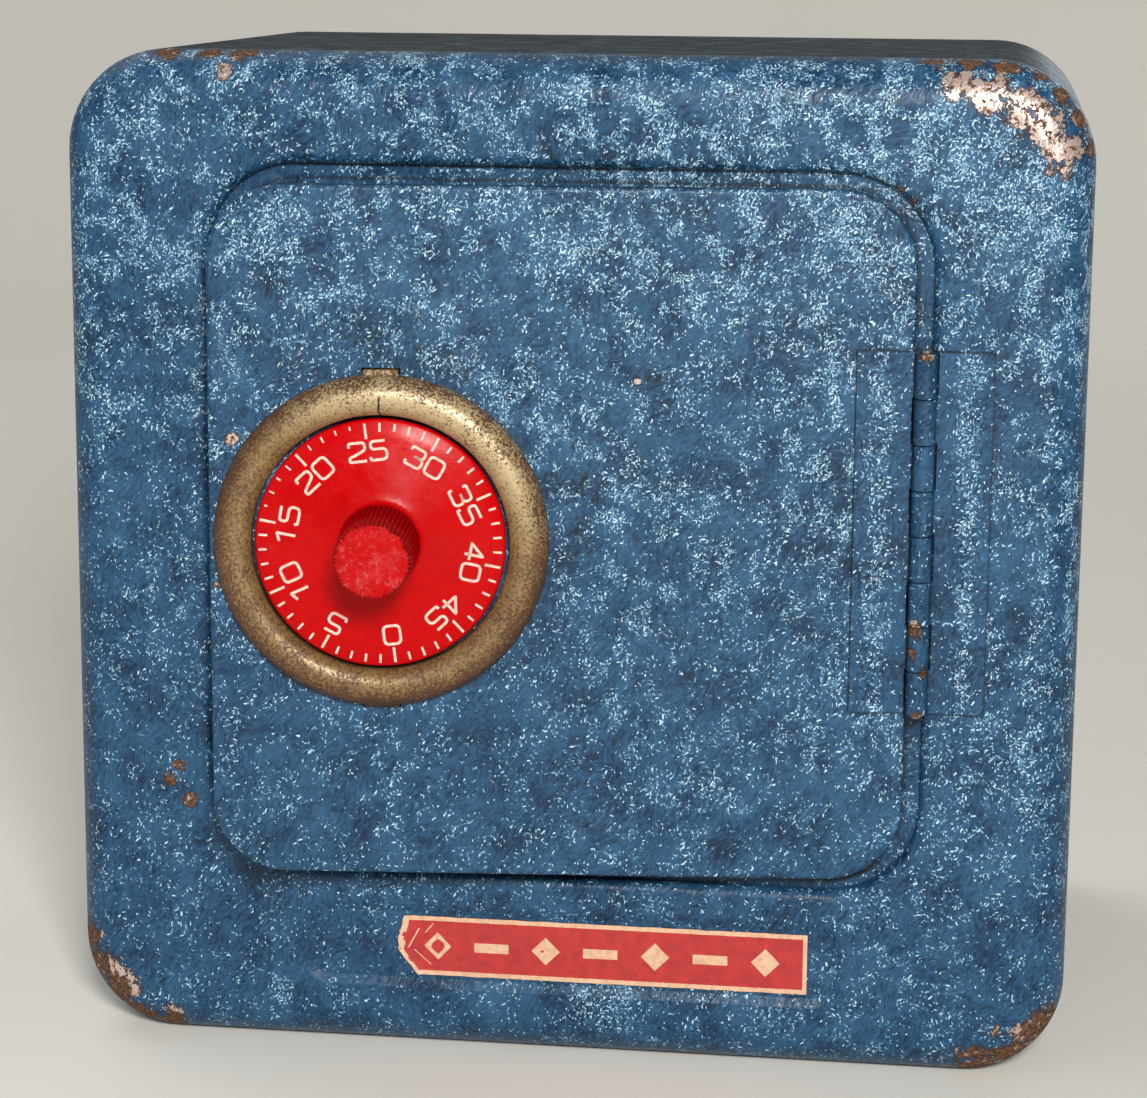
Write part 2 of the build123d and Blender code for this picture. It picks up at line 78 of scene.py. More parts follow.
DIAL_CENTRE = tuple(DIAL_M / MM)
PIN_X = joints["door_hinge"]["pos_m"][0] / MM
LEAVES = [box_mm(node) for node in ("door_hinge_leaf", "case_hinge_leaf")]
DOOR_BOX = box_mm("door_panel")
DOOR_CORNER = 16.0              # rounding of the door's outline


# ---------------------------------------------------------------- the dial's measures
RIBS = 52
RIB_STEPS = 4
RIB_DEPTH = 0.55
RIM = 26.1                      # edge of the disc
GRIP_R = (8.5, 7.8)             # grip at its foot and its top, over the ribs
GRIP_FOOT = -3.4                # depth of the disc's face
GRIP_TOP = min((vertex.co - DIAL_M).dot(AXIS) for vertex in nodes["dial"].data.vertices) / MM
WORN_TOP = GRIP_TOP + 0.4       # the grip is scuffed in front of this depth


# ---------------------------------------------------------------- node materials
class Look:
    """A node material being put together. Its places are millimetres in the rest pose."""

    def __init__(self, name):
        self.material = bpy.data.materials.new(name)
        self.material.use_nodes = True
        self.tree = self.material.node_tree
        self.shader = self.tree.nodes["Principled BSDF"]
        raw = self.new("TexCoord", out="Object")
        self.place = self.vector("MULTIPLY", raw, (1000, 1000, 1000))

    def new(self, kind, *values, out=0, **settings):
        node = self.tree.nodes.new("ShaderNode" + kind)
        for key, value in settings.items():
            setattr(node, key, value)
        for socket, value in zip(node.inputs, values):
            self.feed(socket, value)
        return node.outputs[out]

    def feed(self, socket, value):
        if isinstance(value, bpy.types.NodeSocket):
            self.tree.links.new(value, socket)
        elif value is not None:
            socket.default_value = value

    def math(self, operation, *values):
        return self.new("Math", *values, operation=operation)

    def vector(self, operation, *values):
        out = "Value" if operation in ("DOT_PRODUCT", "LENGTH", "DISTANCE") else "Vector"
        return self.new("VectorMath", *values, operation=operation, out=out)

    def noise(self, size, detail=2.0, rough=0.5, place=None, out="Fac"):
        place = self.place if place is None else place
        node = self.tree.nodes.new("ShaderNodeTexNoise")
        self.feed(node.inputs["Vector"], place)
        settings = {"Scale": 1.0 / size, "Detail": detail, "Roughness": rough}
        for key, value in settings.items():
            node.inputs[key].default_value = value
        return node.outputs[out]

    def cells(self, place):
        """Outputs of random cells one unit apart: Distance, Color and Position."""
        node = self.tree.nodes.new("ShaderNodeTexVoronoi")
        self.feed(node.inputs["Vector"], place)
        node.inputs["Scale"].default_value = 1.0
        return node.outputs

    def steps(self, value, low, high, to_low=0.0, to_high=1.0):
        """Smooth step from to_low at low to to_high at high."""
        node = self.tree.nodes.new("ShaderNodeMapRange")
        node.interpolation_type = "SMOOTHSTEP"
        for socket, item in zip(node.inputs, (value, low, high, to_low, to_high)):
            self.feed(socket, item)
        return node.outputs[0]

    def mix(self, factor, a, b):
        node = self.tree.nodes.new("ShaderNodeMix")
        node.data_type = "RGBA"
        for index, value in ((0, factor), (6, a), (7, b)):
            self.feed(node.inputs[index], value)
        return node.outputs[2]

    def blend(self, factor, a, b):
        """Mix of two plain numbers."""
        return self.math("ADD", self.math("MULTIPLY", factor, self.math("SUBTRACT", b, a)), a)

    def shifted(self, offset, place=None):
        return self.vector("ADD", self.place if place is None else place, offset)

    def wobbled(self, size, amount, place=None):
        """The place moved about by a noise."""
        place = self.place if place is None else place
        push = self.vector("SUBTRACT", self.noise(size, 1, place=place, out="Color"), (0.5, 0.5, 0.5))
        return self.vector("ADD", place, self.vector("MULTIPLY", push, (amount,) * 3))

    def around(self, spots):
        """1 at each spot (x, y, z, radius), falling to 0 at its radius and below 0 beyond."""
        fields = []
        for *centre, radius in spots:
            distance = self.vector("DISTANCE", self.place, tuple(centre))
            fields.append(self.new("Math", distance, -1 / radius, 1.0, operation="MULTIPLY_ADD"))
        return self.most(fields)

    def torn(self, field, ragged, level, soft=0.08):
        """1 where a field roughened by a noise passes a level."""
        rough = self.new("Math", ragged, 2.6, -1.3, operation="MULTIPLY_ADD")
        return self.steps(self.math("ADD", field, rough), level, level + soft)

    def outline(self, box, width):
        """1 on the outline of a box seen from the front. box is low and high corner."""
        (x0, _, z0), (x1, _, z1) = box
        gaps = []
        for axis, low, high in (((1, 0, 0), x0, x1), ((0, 0, 1), z0, z1)):
            value = self.vector("DOT_PRODUCT", self.place, axis)
            from_middle = self.math("ABSOLUTE", self.math("SUBTRACT", value, (low + high) / 2))
            gaps.append(self.math("SUBTRACT", from_middle, (high - low) / 2))
        reach = self.math("ABSOLUTE", self.math("MAXIMUM", *gaps))
        return self.steps(reach, width, width * 0.3)

    def outside(self, box, corner):
        """Millimetres outside a box with rounded corners seen from the front."""
        (x0, _, z0), (x1, _, z1) = box
        middle = ((x0 + x1) / 2, 0, (z0 + z1) / 2)
        inset = (x1 - x0) / 2 - corner, 0, (z1 - z0) / 2 - corner
        offset = self.vector("MULTIPLY", self.vector("SUBTRACT", self.place, middle), (1, 0, 1))
        gap = self.vector("SUBTRACT", self.vector("ABSOLUTE", offset), inset)
        beyond = self.vector("LENGTH", self.vector("MAXIMUM", gap, (0, 0, 0)))
        return self.math("SUBTRACT", beyond, corner)

    def most(self, values):
        """The largest of several values."""
        total = values[0]
        for value in values[1:]:
            total = self.math("MAXIMUM", total, value)
        return total

    def relief(self, height, distance):
        """Bump in millimetres, laid over the bump made before it."""
        node = self.tree.nodes.new("ShaderNodeBump")
        node.inputs["Strength"].default_value = 1.0
        node.inputs["Distance"].default_value = distance * MM
        self.feed(node.inputs["Height"], height)
        links = self.shader.inputs["Normal"].links
        if links:
            self.feed(node.inputs["Normal"], links[0].from_socket)
        self.feed(self.shader.inputs["Normal"], node.outputs["Normal"])

    def finish(self, **sockets):
        """Feeds the shader. Underscores in the names stand for spaces."""
        for key, value in sockets.items():
            self.feed(self.shader.inputs[key.replace("_", " ")], value)
        return self.material


def rgb(r, g, b):
    """Linear colour from 0-255 display values."""
    def line(v):
        v /= 255
        return v / 12.92 if v <= 0.04045 else ((v + 0.055) / 1.055) ** 2.4
    return (line(r), line(g), line(b), 1.0)


def flecks(look, place, cell, half_width, stretch, amount, lean):
    """Short bright strokes lying in the surface, one for each random cell, and their tones: painted glints on
    the enamel's flakes.
    """
    spot = look.vector("MULTIPLY", place, (1 / cell,) * 3)
    out = look.cells(spot)
    face = look.new("TexCoord", out="Normal")

    def flat(value):
        """The part of a direction that lies in the surface."""
        lift = look.vector("DOT_PRODUCT", value, face)
        lift = look.vector("MULTIPLY", face, look.new("CombineXYZ", lift, lift, lift))
        return look.vector("SUBTRACT", value, lift)
    away = flat(look.vector("SUBTRACT", spot, out["Position"]))
    way = look.vector("ADD", look.vector("SUBTRACT", out["Color"], (0.5, 0.5, 0.5)), lean)
    way = look.vector("NORMALIZE", flat(way))
    along = look.vector("DOT_PRODUCT", away, way)
    squared = look.vector("DOT_PRODUCT", away, away)
    cut = look.math("MULTIPLY", look.math("MULTIPLY", along, along), 1 - 1 / stretch ** 2)
    side = look.math("SUBTRACT", squared, cut)
    shape = look.steps(side, half_width ** 2, (0.45 * half_width) ** 2)
    chance = look.new("TexWhiteNoise", out["Position"], noise_dimensions="3D")
    shown = look.math("LESS_THAN", chance, amount)
    tone = look.vector("DOT_PRODUCT", out["Color"], (0.4, 0.3, 0.3))
    return look.math("MULTIPLY", shape, shown), tone


NAVY = rgb(8, 34, 58)
BLUE = rgb(40, 82, 116)
# the next two colours are painted: glints and sheen on the enamel
GLINT_TEAL = rgb(110, 156, 182)
GLINT_PALE = rgb(186, 216, 232)
# near black of the dark smudges and of painted shade
SOOT_AND_SHADE = rgb(16, 22, 28)
# colour of the painted shade on the top of the box
TOP_SHADE = rgb(34, 38, 36)
RUST = rgb(54, 32, 22)
RUST_LIGHT = rgb(116, 82, 56)
BARE = rgb(206, 186, 176)
GRAIN_TILT = math.radians(58)   # slant of the wrinkles in the enamel
GLINT_STRIPE_OUT = 9.2                # stripe of painted glints down a hinge leaf, its distance from the pin


def wrinkle_axes(look, wavy):
    """Distances along and across the wrinkles in the enamel, and into the box."""
    bent = look.wobbled(15, 12, wavy)
    along = look.vector("DOT_PRODUCT", bent, (math.cos(GRAIN_TILT), 0.3, math.sin(GRAIN_TILT)))
    across = look.vector("DOT_PRODUCT", bent, (-math.sin(GRAIN_TILT), 0.3, math.cos(GRAIN_TILT)))
    depth = look.vector("DOT_PRODUCT", bent, (0, 1, 0))
    return along, across, depth


def drawn_out(look, axes, share):
    """Place in which a noise is drawn out along the wrinkles."""
    along, across, depth = axes
    return look.new("CombineXYZ", look.math("MULTIPLY", along, share), across, depth)


def fleck_share(look, cluster, glint_spots):
    """Share of cells that show a painted glint: more of them higher up and to the right, a painted light
    falloff, and round the glint spots.
    """
    height = look.vector("DOT_PRODUCT", look.place, (0.35, 0, 1))
    patch = look.steps(look.noise(30, 2, 0.5), 0.30, 0.64, 0.35, 1.0)
    share = look.math("MULTIPLY", cluster, patch)
    # painted light falloff: fewer glints towards the bottom and the left
    share = look.math("MULTIPLY", share, look.steps(height, 0, 250, 0.26, 1.20))
    # more painted glints round the given spots
    if glint_spots:
        thick = look.steps(look.around(glint_spots), 0.0, 0.5)
        share = look.math("ADD", share, look.math("MULTIPLY", thick, 0.30))
    return share


def leaf_fleck_share(look, cluster):
    """Hinge leaf paint: few flecks beside the barrel and the edges, and down the middle a stripe of painted
    glints, a painted highlight.
    """
    out = look.math("ABSOLUTE", look.vector("DOT_PRODUCT", look.shifted((-PIN_X, 0, 0)), (1, 0, 0)))
    out = look.math("ADD", out, look.steps(look.noise(5, 2), 0.3, 0.7, -1.2, 1.2))
    # painted highlight: a stripe of glints down the leaf
    glint_stripe = look.steps(look.math("ABSOLUTE", look.math("SUBTRACT", out, GLINT_STRIPE_OUT)), 3.2, 0.8)
    glint_stripe = look.math("MULTIPLY", glint_stripe, look.blend(cluster, 0.30, 0.75))
    return look.math("ADD", glint_stripe, 0.04)


def enamel_colour(look, wavy, grain, shade, share):
    """Mottled blue with pale flecks of two sizes, which are painted glints, and a painted teal sheen on the
    wrinkles where the glints gather.
    """
    big, big_tone = flecks(look, wavy, 1.1, 0.165, 3.2, share, (0.22, 0.0, 0.22))
    small, small_tone = flecks(look, look.shifted((31, 17, 5), wavy), 0.68, 0.20, 2.6,
                               look.math("ADD", share, 0.05), (-0.20, 0.0, 0.25))
    mottle = look.math("ADD", look.math("MULTIPLY", grain, 0.5), look.math("MULTIPLY", shade, 0.5))
    base = look.mix(look.steps(mottle, 0.32, 0.64), NAVY, BLUE)
    # painted sheen: teal on the wrinkles where the painted glints gather
    wrinkle_sheen = look.math("MULTIPLY", look.steps(grain, 0.48, 0.66), share)
    base = look.mix(look.math("MULTIPLY", wrinkle_sheen, 0.4), base, GLINT_TEAL)
    # the pale strokes are painted glints
    base = look.mix(small, base, look.mix(look.steps(small_tone, 0.40, 0.66), GLINT_TEAL, GLINT_PALE))
    return look.mix(big, base, look.mix(look.steps(big_tone, 0.38, 0.60), GLINT_TEAL, GLINT_PALE))


def settled_grime(look, shade):
    """Painted shade on surfaces that face up, behind the rounded front edge: the top of the box is darkened.
    """
    upward = look.vector("DOT_PRODUCT", look.new("TexCoord", out="Normal"), (0, 0, 1))
    behind = look.vector("DOT_PRODUCT", look.place, (0, 1, 0))
    top = look.math("MULTIPLY", look.steps(upward, 0.80, 0.99), look.steps(behind, -70, -62))
    return look.math("MULTIPLY", top, look.steps(shade, 0.25, 0.6, 0.55, 0.88))


def smudges(look, axes, spots):
    """Dark wisps and blots where the enamel was touched up, round the spots."""
    zone = look.torn(look.around(spots), look.noise(4.0, 4, 0.7), 0.30, 0.35)
    wisp = look.noise(1.9, 3, 0.6, place=drawn_out(look, axes, 0.22))
    line = look.steps(look.math("ABSOLUTE", look.math("SUBTRACT", wisp, 0.5)), 0.030, 0.006)
    blot = look.steps(wisp, 0.56, 0.70)
    return look.math("MULTIPLY", zone, look.math("MAXIMUM", look.math("MULTIPLY", line, 0.8), blot))


def wear(look, bald, rusty, base, rough):
    """Paint lost round the spots, down to bare metal or rust: new colour, roughness and metal."""
    bites = look.noise(3.4, 5, 0.75, place=look.shifted((3, 8, 21)))
    worn = look.around([*bald, *rusty])
    lost = look.torn(worn, bites, 0.36)
    rim = look.torn(worn, bites, 0.22)
    browned = look.noise(1.5, 4, 0.75, place=look.shifted((14, 2, 7)))
    if rusty:
        kinds = look.steps(look.around(rusty), 0.0, 0.35)
        browned = look.math("ADD", browned, look.math("MULTIPLY", kinds, 0.16))
    rust = look.steps(browned, 0.50, 0.58)
    brown = look.mix(look.steps(look.noise(0.7, 3, 0.7), 0.35, 0.65), RUST, RUST_LIGHT)
    base = look.mix(look.math("MULTIPLY", rim, 0.8), base, RUST)
    base = look.mix(lost, base, look.mix(rust, BARE, brown))
    metal = look.math("MULTIPLY", lost, look.math("SUBTRACT", 0.6, look.math("MULTIPLY", rust, 0.6)))
    rough = look.blend(lost, rough, look.blend(rust, 0.32, 0.85))
    look.relief(lost, -0.12)
    return base, rough, metal


def darken_crevices(look, base):
    """Painted shade: dark under the dial, a painted shadow round the door (widest along its lower edge) and
    dark round each hinge leaf.
    """
    # depth counts for more than the rest, so that the door's inside stays clean
    from_dial = look.vector("MULTIPLY", look.shifted(tuple(-DIAL_M / MM)), (1, 12, 1))
    dial_gap_shade = look.steps(look.vector("LENGTH", from_dial), RIM + 2.9, RIM + 1.9)
    # painted shade in the gap round the dial
    base = look.mix(look.math("MULTIPLY", dial_gap_shade, 0.95), base, SOOT_AND_SHADE)

    # painted shadow round the door, widest below its lower edge
    beside = look.outside(DOOR_BOX, DOOR_CORNER)
    level = look.vector("DOT_PRODUCT", look.place, (0, 0, 1))
    low_edge = look.steps(level, DOOR_BOX[0][2] + 6, DOOR_BOX[0][2] + 1)
    begins = look.steps(beside, -0.3, 0.0)
    ends = look.steps(beside, look.blend(low_edge, 1.0, 2.2), look.blend(low_edge, 0.2, 1.3))
    door_gap_shadow = look.math("MULTIPLY", look.math("MULTIPLY", begins, ends), look.blend(low_edge, 0.6, 0.97))
    base = look.mix(door_gap_shadow, base, SOOT_AND_SHADE)

    # painted shade round each hinge leaf
    leaf_edge_shade = look.most([look.outline(leaf_box, 0.35) for leaf_box in LEAVES])
    return look.mix(look.math("MULTIPLY", leaf_edge_shade, 0.6), base, SOOT_AND_SHADE)


def hammer_paint(name, bald=(), rusty=(), smudged=(), glint_spots=(), welds=(), leaf=False):
    """Hammertone enamel with worn places, dark smudges and places thick with painted glints, each (x, y, z,
    radius).
    """
    look = Look(name)
    wavy = look.wobbled(2.2, 1.3)
    axes = wrinkle_axes(look, wavy)
    grain_place = drawn_out(look, axes, 0.30)
    grain = look.noise(0.55, 2, 0.6, place=grain_place)
    shade = look.noise(9, 4, 0.65)
    cluster = look.steps(look.noise(4.6, 3, 0.65), 0.42, 0.66)
    share = leaf_fleck_share(look, cluster) if leaf else fleck_share(look, cluster, glint_spots)
    base = enamel_colour(look, wavy, grain, shade, share)
    rough = look.steps(shade, 0.3, 0.7, 0.34, 0.50)

    # painted shade: the top darkened, rougher and less shiny
    top_shade = settled_grime(look, shade)
    base = look.mix(top_shade, base, TOP_SHADE)
    rough = look.blend(top_shade, rough, 0.7)
    if smudged:
        base = look.mix(look.math("MULTIPLY", smudges(look, axes, smudged), 0.85), base, SOOT_AND_SHADE)
    metal = 0.0
    if bald or rusty:
        base, rough, metal = wear(look, bald, rusty, base, rough)
    # painted shade under the dial, round the door and round the hinge leaves
    base = darken_crevices(look, base)

    dents = look.noise(24, 2, 0.5)
    lumps = look.math("ADD", look.math("MULTIPLY", dents, 3.0), look.noise(1.5, 2, 0.6, place=grain_place))
    look.relief(lumps, 0.30)
    for *centre, radius in welds:
        ring = look.vector("DISTANCE", look.place, tuple(centre))
        dip = look.steps(look.math("ABSOLUTE", look.math("SUBTRACT", ring, radius)), 0.9, 0.1)
        look.relief(dip, -0.25)
    shine = look.blend(top_shade, 0.3, 0.04)
    return look.finish(Base_Color=base, Roughness=rough, Metallic=metal, Specular_IOR_Level=shine)


def gold_look():
    """Aged gold lacquer over pressed steel: browner towards its outer edge and the lower left, with a painted
    highlight of paler gold at the upper right.
    """
    look = Look("gold_ring")
    radius = look.vector("DISTANCE", look.place, DIAL_CENTRE)
    speck = look.noise(0.6, 3, 0.8)
    blotch = look.noise(5.5, 4, 0.65)
    brown = look.math("ADD", look.math("MULTIPLY", speck, 0.74), look.math("MULTIPLY", blotch, 0.26))
    brown = look.math("ADD", brown, look.steps(radius, 30.5, 35.5, -0.02, 0.10))
    low = look.vector("DOT_PRODUCT", look.shifted((0, 0, -DIAL_CENTRE[2])), (-0.4, 0, -1))
    brown = look.math("ADD", brown, look.steps(low, -30, 34, -0.03, 0.035))
    gold = look.mix(look.steps(brown, 0.42, 0.54), rgb(142, 118, 74), rgb(108, 80, 44))
    # painted highlight: paler gold towards the upper right
    from_centre = look.shifted((-DIAL_CENTRE[0], 0, -DIAL_CENTRE[2]))
    high = look.vector("DOT_PRODUCT", from_centre, (0.45, 0, 0.9))
    painted_highlight = look.math("MULTIPLY", look.steps(high, 8, 31), look.steps(brown, 0.58, 0.46))
    gold = look.mix(look.math("MULTIPLY", painted_highlight, 0.7), gold, rgb(202, 182, 142))
    colour = look.mix(look.steps(brown, 0.535, 0.59), gold, rgb(74, 42, 20))
    pits = look.steps(look.cells(look.wobbled(1, 0.5))["Distance"], 0.24, 0.12)
    pits = look.math("MULTIPLY", pits, look.steps(look.noise(3), 0.46, 0.58))
    colour = look.mix(look.math("MULTIPLY", pits, 0.8), colour, rgb(52, 30, 16))
    # thin cracked index line at the top of the inner slope
    offset = look.vector("SUBTRACT", look.wobbled(1.4, 0.7), DIAL_CENTRE)
    sideways = look.math("ABSOLUTE", look.vector("DOT_PRODUCT", offset, tuple(RIGHT)))
    height = look.vector("DOT_PRODUCT", offset, (0, 0, 1))
    line = look.math("MULTIPLY", look.steps(sideways, 0.30, 0.12), look.steps(height, 26.0, 26.6))
    line = look.math("MULTIPLY", line, look.steps(height, 31.6, 30.6))
    colour = look.mix(line, colour, rgb(40, 26, 16))
    rough_skin = look.math("SUBTRACT", look.math("MULTIPLY", speck, 0.3), look.math("MULTIPLY", pits, 0.3))
    look.relief(rough_skin, 0.22)
    rough = look.steps(brown, 0.4, 0.62, 0.32, 0.62)
    metal = look.steps(brown, 0.44, 0.60, 0.30, 0.05)
    return look.finish(Base_Color=colour, Roughness=rough, Metallic=metal, Specular_IOR_Level=0.6)


def grip_dirt(look, depth, top):
    """Masks of the painted shade on the grip's side and of the deeper painted shade between its ribs."""
    from_axis = look.vector("CROSS_PRODUCT", look.vector("SUBTRACT", look.place, DIAL_CENTRE), tuple(AXIS))
    reach = look.steps(depth, GRIP_TOP, GRIP_FOOT, GRIP_R[1], GRIP_R[0])
    groove = look.math("SUBTRACT", reach, look.vector("LENGTH", from_axis))
    past_foot = look.steps(depth, GRIP_FOOT - 0.2, GRIP_FOOT - 0.6)
    side = look.math("MULTIPLY", past_foot, look.steps(top, 0.5, 0.1))
    return side, look.math("MULTIPLY", look.steps(groove, 0.05, 0.45), side)


def red_look():
    """Moulded red plastic of the dial, hazed by fine scratches and scuffed on top of its grip."""
    look = Look("red_plastic")
    haze = look.noise(7, 3, 0.6)
    scratch_place = look.vector("MULTIPLY", look.wobbled(9, 4), (0.22, 1.0, 1.7))
    scratch = look.noise(0.55, 3, 0.75, place=scratch_place)
    lines = look.steps(look.math("ABSOLUTE", look.math("SUBTRACT", scratch, 0.5)), 0.012, 0.002)
    lines = look.math("MULTIPLY", lines, look.steps(haze, 0.48, 0.62))
    colour = look.mix(look.steps(haze, 0.3, 0.7), rgb(176, 0, 2), rgb(190, 0, 5))
    colour = look.mix(look.math("MULTIPLY", lines, 0.18), colour, rgb(226, 120, 120))

    from_centre = look.vector("SUBTRACT", look.place, DIAL_CENTRE)
    depth = look.vector("DOT_PRODUCT", from_centre, tuple(AXIS))
    top = look.steps(depth, WORN_TOP + 0.9, WORN_TOP - 0.1)
    side, groove = grip_dirt(look, depth, top)
    # painted shade between the grip's ribs and on its side
    colour = look.mix(look.math("MULTIPLY", groove, 0.85), colour, rgb(60, 0, 4))
    colour = look.mix(look.math("MULTIPLY", side, 0.30), colour, rgb(110, 0, 4))
    blot = look.steps(look.noise(4.5, 5, 0.8), 0.50, 0.62)
    chips = look.steps(look.noise(1.2, 4, 0.8), 0.54, 0.64)
    scuffs = look.math("ADD", look.math("MULTIPLY", blot, 0.06), look.math("MULTIPLY", chips, 0.17))
    colour = look.mix(look.math("MULTIPLY", top, scuffs), colour, rgb(232, 150, 150))
    rough = look.blend(top, look.steps(look.noise(4, 3), 0.3, 0.7, 0.22, 0.32), 0.55)

    look.relief(look.math("MULTIPLY", top, look.noise(1.1, 4, 0.7)), 0.5)
    # the face falls away slightly towards its edge
    look.relief(look.vector("DISTANCE", look.place, DIAL_CENTRE), -0.22)
    look.relief(look.noise(5), 0.06)
    look.relief(lines, -0.04)
    return look.finish(Base_Color=colour, Roughness=rough, Specular_IOR_Level=0.12)


def print_look(name, light, dark, size, roughness=0.6):
    """Printed or stamped surface with slight mottling."""
    look = Look(name)
    tone = look.steps(look.noise(size, 4, 0.7), 0.32, 0.68)
    grain = look.noise(0.35, 3, 0.6)
    rough = look.steps(grain, 0.3, 0.7, roughness - 0.08, roughness + 0.08)
    look.relief(grain, 0.03)
    return look.finish(Base_Color=look.mix(tone, dark, light), Roughness=rough)


def metal_look(name, light, dark, rust_level, roughness=0.35, stain_size=6.0):
    """Metal with brushing, stains and a little rust, which starts at a noise level."""
    look = Look(name)
    stain = look.steps(look.noise(stain_size, 4, 0.65), 0.3, 0.7)
    brushed = look.noise(0.4, 2, 0.6, place=look.vector("MULTIPLY", look.place, (1.0, 1.0, 0.06)))
    tone = look.math("ADD", look.math("MULTIPLY", stain, 0.7), look.math("MULTIPLY", brushed, 0.3))
    rust_noise = look.noise(2.6, 5, 0.72, place=look.shifted((40, 3, 11)))
    bloom = look.steps(rust_noise, rust_level, rust_level + 0.09)
    rusted = look.mix(look.noise(0.8, 3), RUST, RUST_LIGHT)
    colour = look.mix(bloom, look.mix(tone, dark, light), rusted)
    rough = look.steps(brushed, 0.3, 0.7, roughness - 0.08, roughness + 0.08)
    look.relief(brushed, 0.03)
    look.relief(bloom, 0.06)
    return look.finish(Base_Color=colour, Roughness=look.blend(bloom, rough, 0.85),
                       Metallic=look.blend(bloom, 0.9, 0.1))


def floor_look():
    """Pale, even studio floor."""
    look = Look("studio_floor")
    tone = look.noise(400, 3)
    return look.finish(Base_Color=look.mix(tone, rgb(226, 222, 212), rgb(234, 231, 224)), Roughness=0.9)


# ---------------------------------------------------------------- mesh pieces
def piece(name, points_m, faces, body, material, smooth=True):
    """A mesh object in the row frame that rides on a CAD body."""
    mesh = bpy.data.meshes.new(name)
    mesh.from_pydata([tuple(p) for p in points_m], [], faces)
    mesh.validate()
    mesh.update()
    mesh.polygons.foreach_set("use_smooth", [smooth] * len(mesh.polygons))
    obj = bpy.data.objects.new(name, mesh)
    bpy.context.collection.objects.link(obj)
    mesh.materials.append(material)
    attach(obj, body)
    return obj


def dress(node, material):
    """Gives a CAD node its material."""
    mesh = nodes[node].data
    mesh.materials.clear()
    mesh.materials.append(material)


def grip_radius(depth):
    """Radius of the grip over its ribs at a depth in front of the door."""
    t = (GRIP_FOOT - depth) / (GRIP_FOOT - GRIP_TOP)
    return GRIP_R[0] + (GRIP_R[1] - GRIP_R[0]) * t


def dial_profile():
    """The dial turned about its axis: (radius, depth, how much of the ribs) from back to top."""
    bore, back = 3.1, -1.1
    rings = [(bore, back, 0.0), (24.0, back, 0.0), (RIM - 0.5, back, 0.0), (RIM, -1.4, 0.0),
             (RIM, -3.0, 0.0), (RIM - 0.2, -3.3, 0.0)]
    for radius in (RIM - 0.5, 22.0, 18.0, 14.0, 11.0, 9.6):
        rings.append((radius, GRIP_FOOT, 0.0))
    rings += [(8.95, -3.5, 0.0), (8.6, -3.75, 0.5)]
    levels, first, last = 12, GRIP_FOOT - 0.9, GRIP_TOP + 0.7
    for k in range(levels):
        depth = first - k * (first - last) / (levels - 1)
        rings.append((grip_radius(depth), depth, 1.0))
    top_radius = grip_radius(GRIP_TOP)
    rings += [(top_radius - 0.15, GRIP_TOP + 0.35, 0.7), (top_radius - 0.5, GRIP_TOP + 0.08, 0.3)]
    for radius in (6.7, 6.0, 5.1, 4.0, 2.8, 1.4):
        rings.append((radius, GRIP_TOP, 0.0))
    return rings


def chipped(x, depth, z, radius):
    """The point moved as by the chips knocked out of the top of the grip."""
    if depth >= GRIP_TOP + 2.2:
        return x, depth, z
    bite = max(0.0, noise.fractal(Vector((x, z, depth)) * 0.45, 0.8, 2.0, 4) - 0.10)
    squeeze = 1 - (min(0.06, bite * 0.10) if radius > 5.5 else 0)
    return x * squeeze, depth + min(0.55, bite * 0.9) * min(1.0, radius / 6.0), z * squeeze


def build_dial(material):
    """A lathe-turned disc whose grip has ribs and a chipped top."""
    turns = RIBS * RIB_STEPS
    rings = dial_profile()
    points = []
    for radius, depth, ribbed in rings:
        for i in range(turns):
            angle = 2 * math.pi * i / turns
            rib = 0.5 - 0.5 * math.cos(2 * math.pi * i / RIB_STEPS)
            r = radius - RIB_DEPTH * ribbed * rib
            x, d, z = chipped(r * math.cos(angle), depth, r * math.sin(angle), r)
            points.append(on_door(x, min(d, GRIP_FOOT) if ribbed else d, z))
    faces = []
    for k in range(len(rings) - 1):
        for i in range(turns):
            j = (i + 1) % turns
            a, b = k * turns, (k + 1) * turns
            faces.append((a + i, b + i, b + j, a + j))
    last = (len(rings) - 1) * turns
    faces.append(tuple(last + i for i in reversed(range(turns))))
    dial = piece("dial_moulding", points, faces, "dial", material)
    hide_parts("dial")


# ---------------------------------------------------------------- strokes for numbers and marks
def rounded_path(corners, radius, closed):
    """Corners joined by straight runs with arcs of a given radius."""
    path = []
    count = len(corners)
    for i, corner in enumerate(corners):
        here = Vector(corner)
        if not closed and i in (0, count - 1):
            path.append(here)
            continue
        before, after = Vector(corners[i - 1]), Vector(corners[(i + 1) % count])
        back, ahead = (before - here), (after - here)
        turn = math.pi - back.angle(ahead)
        cut = min(radius * math.tan(turn / 2), 0.45 * back.length, 0.45 * ahead.length)
        start, end = here + back.normalized() * cut, here + ahead.normalized() * cut
        for k in range(5):
            t = k / 4
            path.append(start * (1 - t) ** 2 + here * 2 * t * (1 - t) + end * t ** 2)
    return path


def ribbon(path, width, closed):
    """Flat strip along a path: its outline points and the quads between them."""
    left, right = [], []
    count = len(path)
    for i, point in enumerate(path):
        before = path[i - 1] if closed or i else point
        after = path[(i + 1) % count] if closed or i < count - 1 else point
        way = ((point - before).normalized() + (after - point).normalized()).normalized()
        side = Vector((-way.y, way.x))
        run = (after - point) if (after - point).length > 1e-9 else (point - before)
        spread = max(0.6, side.dot(Vector((-run.y, run.x)).normalized()))
        left.append(point + side * width / 2 / spread)
        right.append(point - side * width / 2 / spread)
    quads = [(i, (i + 1) % count) for i in range(count if closed else count - 1)]
    return left, right, quads


